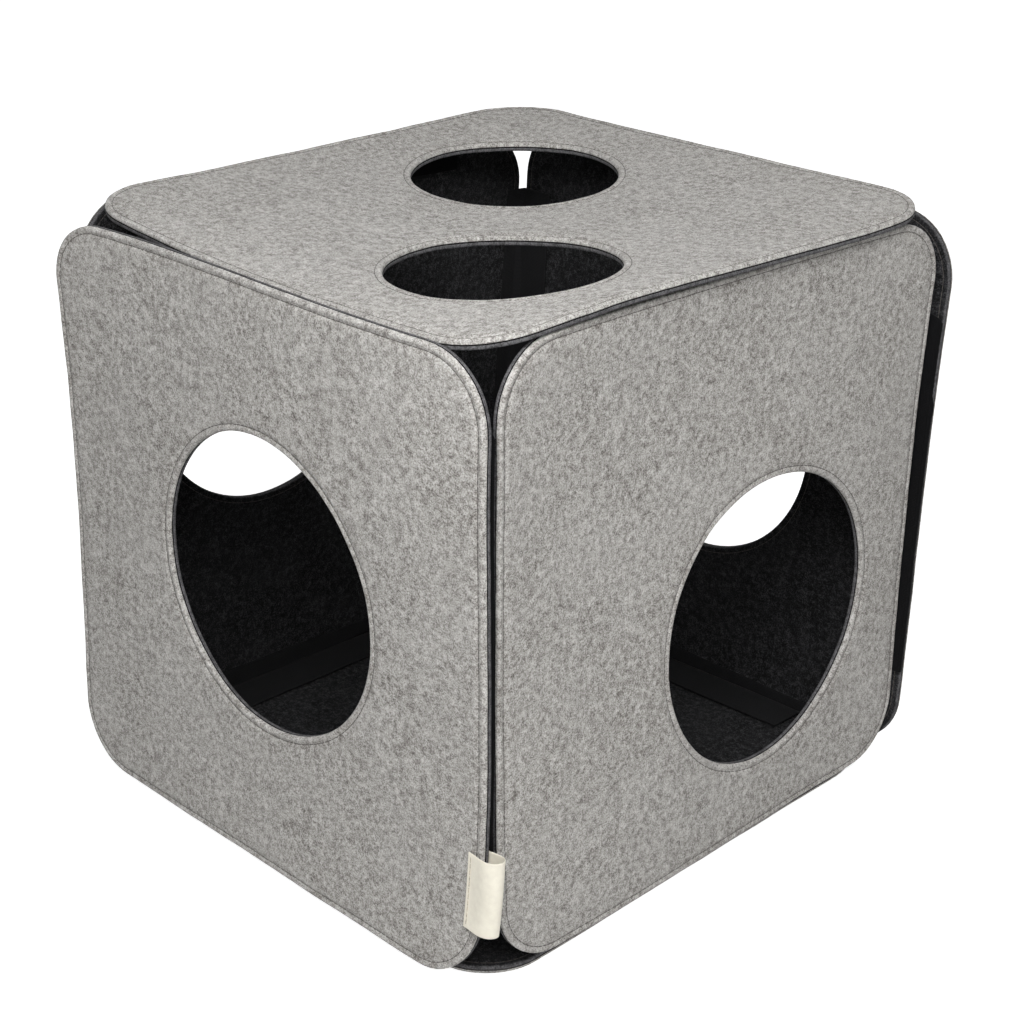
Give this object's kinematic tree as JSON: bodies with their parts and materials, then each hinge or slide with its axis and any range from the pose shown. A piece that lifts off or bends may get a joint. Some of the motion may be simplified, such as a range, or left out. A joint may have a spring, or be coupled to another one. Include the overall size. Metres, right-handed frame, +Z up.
{
  "type": "cat condo",
  "caption": "Felt cube cat condo of two-ply round-cornered panels with round openings in the walls and roof; the edges fold on hook-and-loop flaps, so it opens flat.",
  "frame": {"origin": "on the surface that the part stands on, under the middle of the floor panel", "axes": "+Z up, -Y out through the front wall that carries the label, +X out through the right wall"},
  "size_m": [0.404, 0.4147, 0.4],
  "materials": {
    "outer_felt": "matte needled felt",
    "inner_felt": "matte needled felt",
    "thread": "sewing thread",
    "tape": "woven hook-and-loop tape",
    "label_ribbon": "woven cotton ribbon"
  },
  "bodies": {
    "floor": {"floor_outer_felt": "outer_felt", "floor_inner_felt": "inner_felt", "floor_seam_thread": "thread", "floor_front_hinge_leaf": "tape", "floor_right_hinge_leaf": "tape", "floor_back_hinge_leaf": "tape", "floor_left_hinge_leaf": "tape", "floor_front_loop": "tape", "floor_right_loop": "tape", "floor_back_loop": "tape", "floor_left_loop": "tape"},
    "front_wall": {"front_wall_outer_felt": "outer_felt", "front_wall_inner_felt": "inner_felt", "front_wall_seam_thread": "thread", "front_wall_hinge_leaf": "tape", "front_wall_top_loop": "tape", "front_wall_right_loop": "tape", "front_wall_left_loop": "tape", "label": "label_ribbon", "label_stitch": "thread"},
    "right_wall": {"right_wall_outer_felt": "outer_felt", "right_wall_inner_felt": "inner_felt", "right_wall_seam_thread": "thread", "right_wall_hinge_leaf": "tape", "right_wall_top_loop": "tape", "right_wall_front_flap": "tape", "right_wall_back_flap": "tape"},
    "back_wall": {"back_wall_outer_felt": "outer_felt", "back_wall_inner_felt": "inner_felt", "back_wall_seam_thread": "thread", "back_wall_hinge_leaf": "tape", "back_wall_top_loop": "tape", "back_wall_right_loop": "tape", "back_wall_left_loop": "tape", "back_wall_roof_leaf": "tape"},
    "left_wall": {"left_wall_outer_felt": "outer_felt", "left_wall_inner_felt": "inner_felt", "left_wall_seam_thread": "thread", "left_wall_hinge_leaf": "tape", "left_wall_top_loop": "tape", "left_wall_front_flap": "tape", "left_wall_back_flap": "tape"},
    "roof": {"roof_outer_felt": "outer_felt", "roof_inner_felt": "inner_felt", "roof_seam_thread": "thread", "roof_hinge_leaf": "tape", "roof_front_flap": "tape", "roof_right_flap": "tape", "roof_left_flap": "tape"}
  },
  "joints": [
    {"name": "front_wall_fold", "type": "hinge", "parent": "floor", "child": "front_wall", "pos_m": [0, -0.194, 0.006], "axis": [1, 0, 0], "range_deg": [0, 90]},
    {"name": "right_wall_fold", "type": "hinge", "parent": "floor", "child": "right_wall", "pos_m": [0.194, 0, 0.006], "axis": [0, 1, 0], "range_deg": [0, 90]},
    {"name": "back_wall_fold", "type": "hinge", "parent": "floor", "child": "back_wall", "pos_m": [0, 0.194, 0.006], "axis": [-1, 0, 0], "range_deg": [0, 88]},
    {"name": "left_wall_fold", "type": "hinge", "parent": "floor", "child": "left_wall", "pos_m": [-0.194, 0, 0.006], "axis": [0, -1, 0], "range_deg": [0, 90]},
    {"name": "roof_fold", "type": "hinge", "parent": "back_wall", "child": "roof", "pos_m": [0, 0.20754, 0.39376], "axis": [-1, 0, 0], "range_deg": [0, 90]}
  ]
}
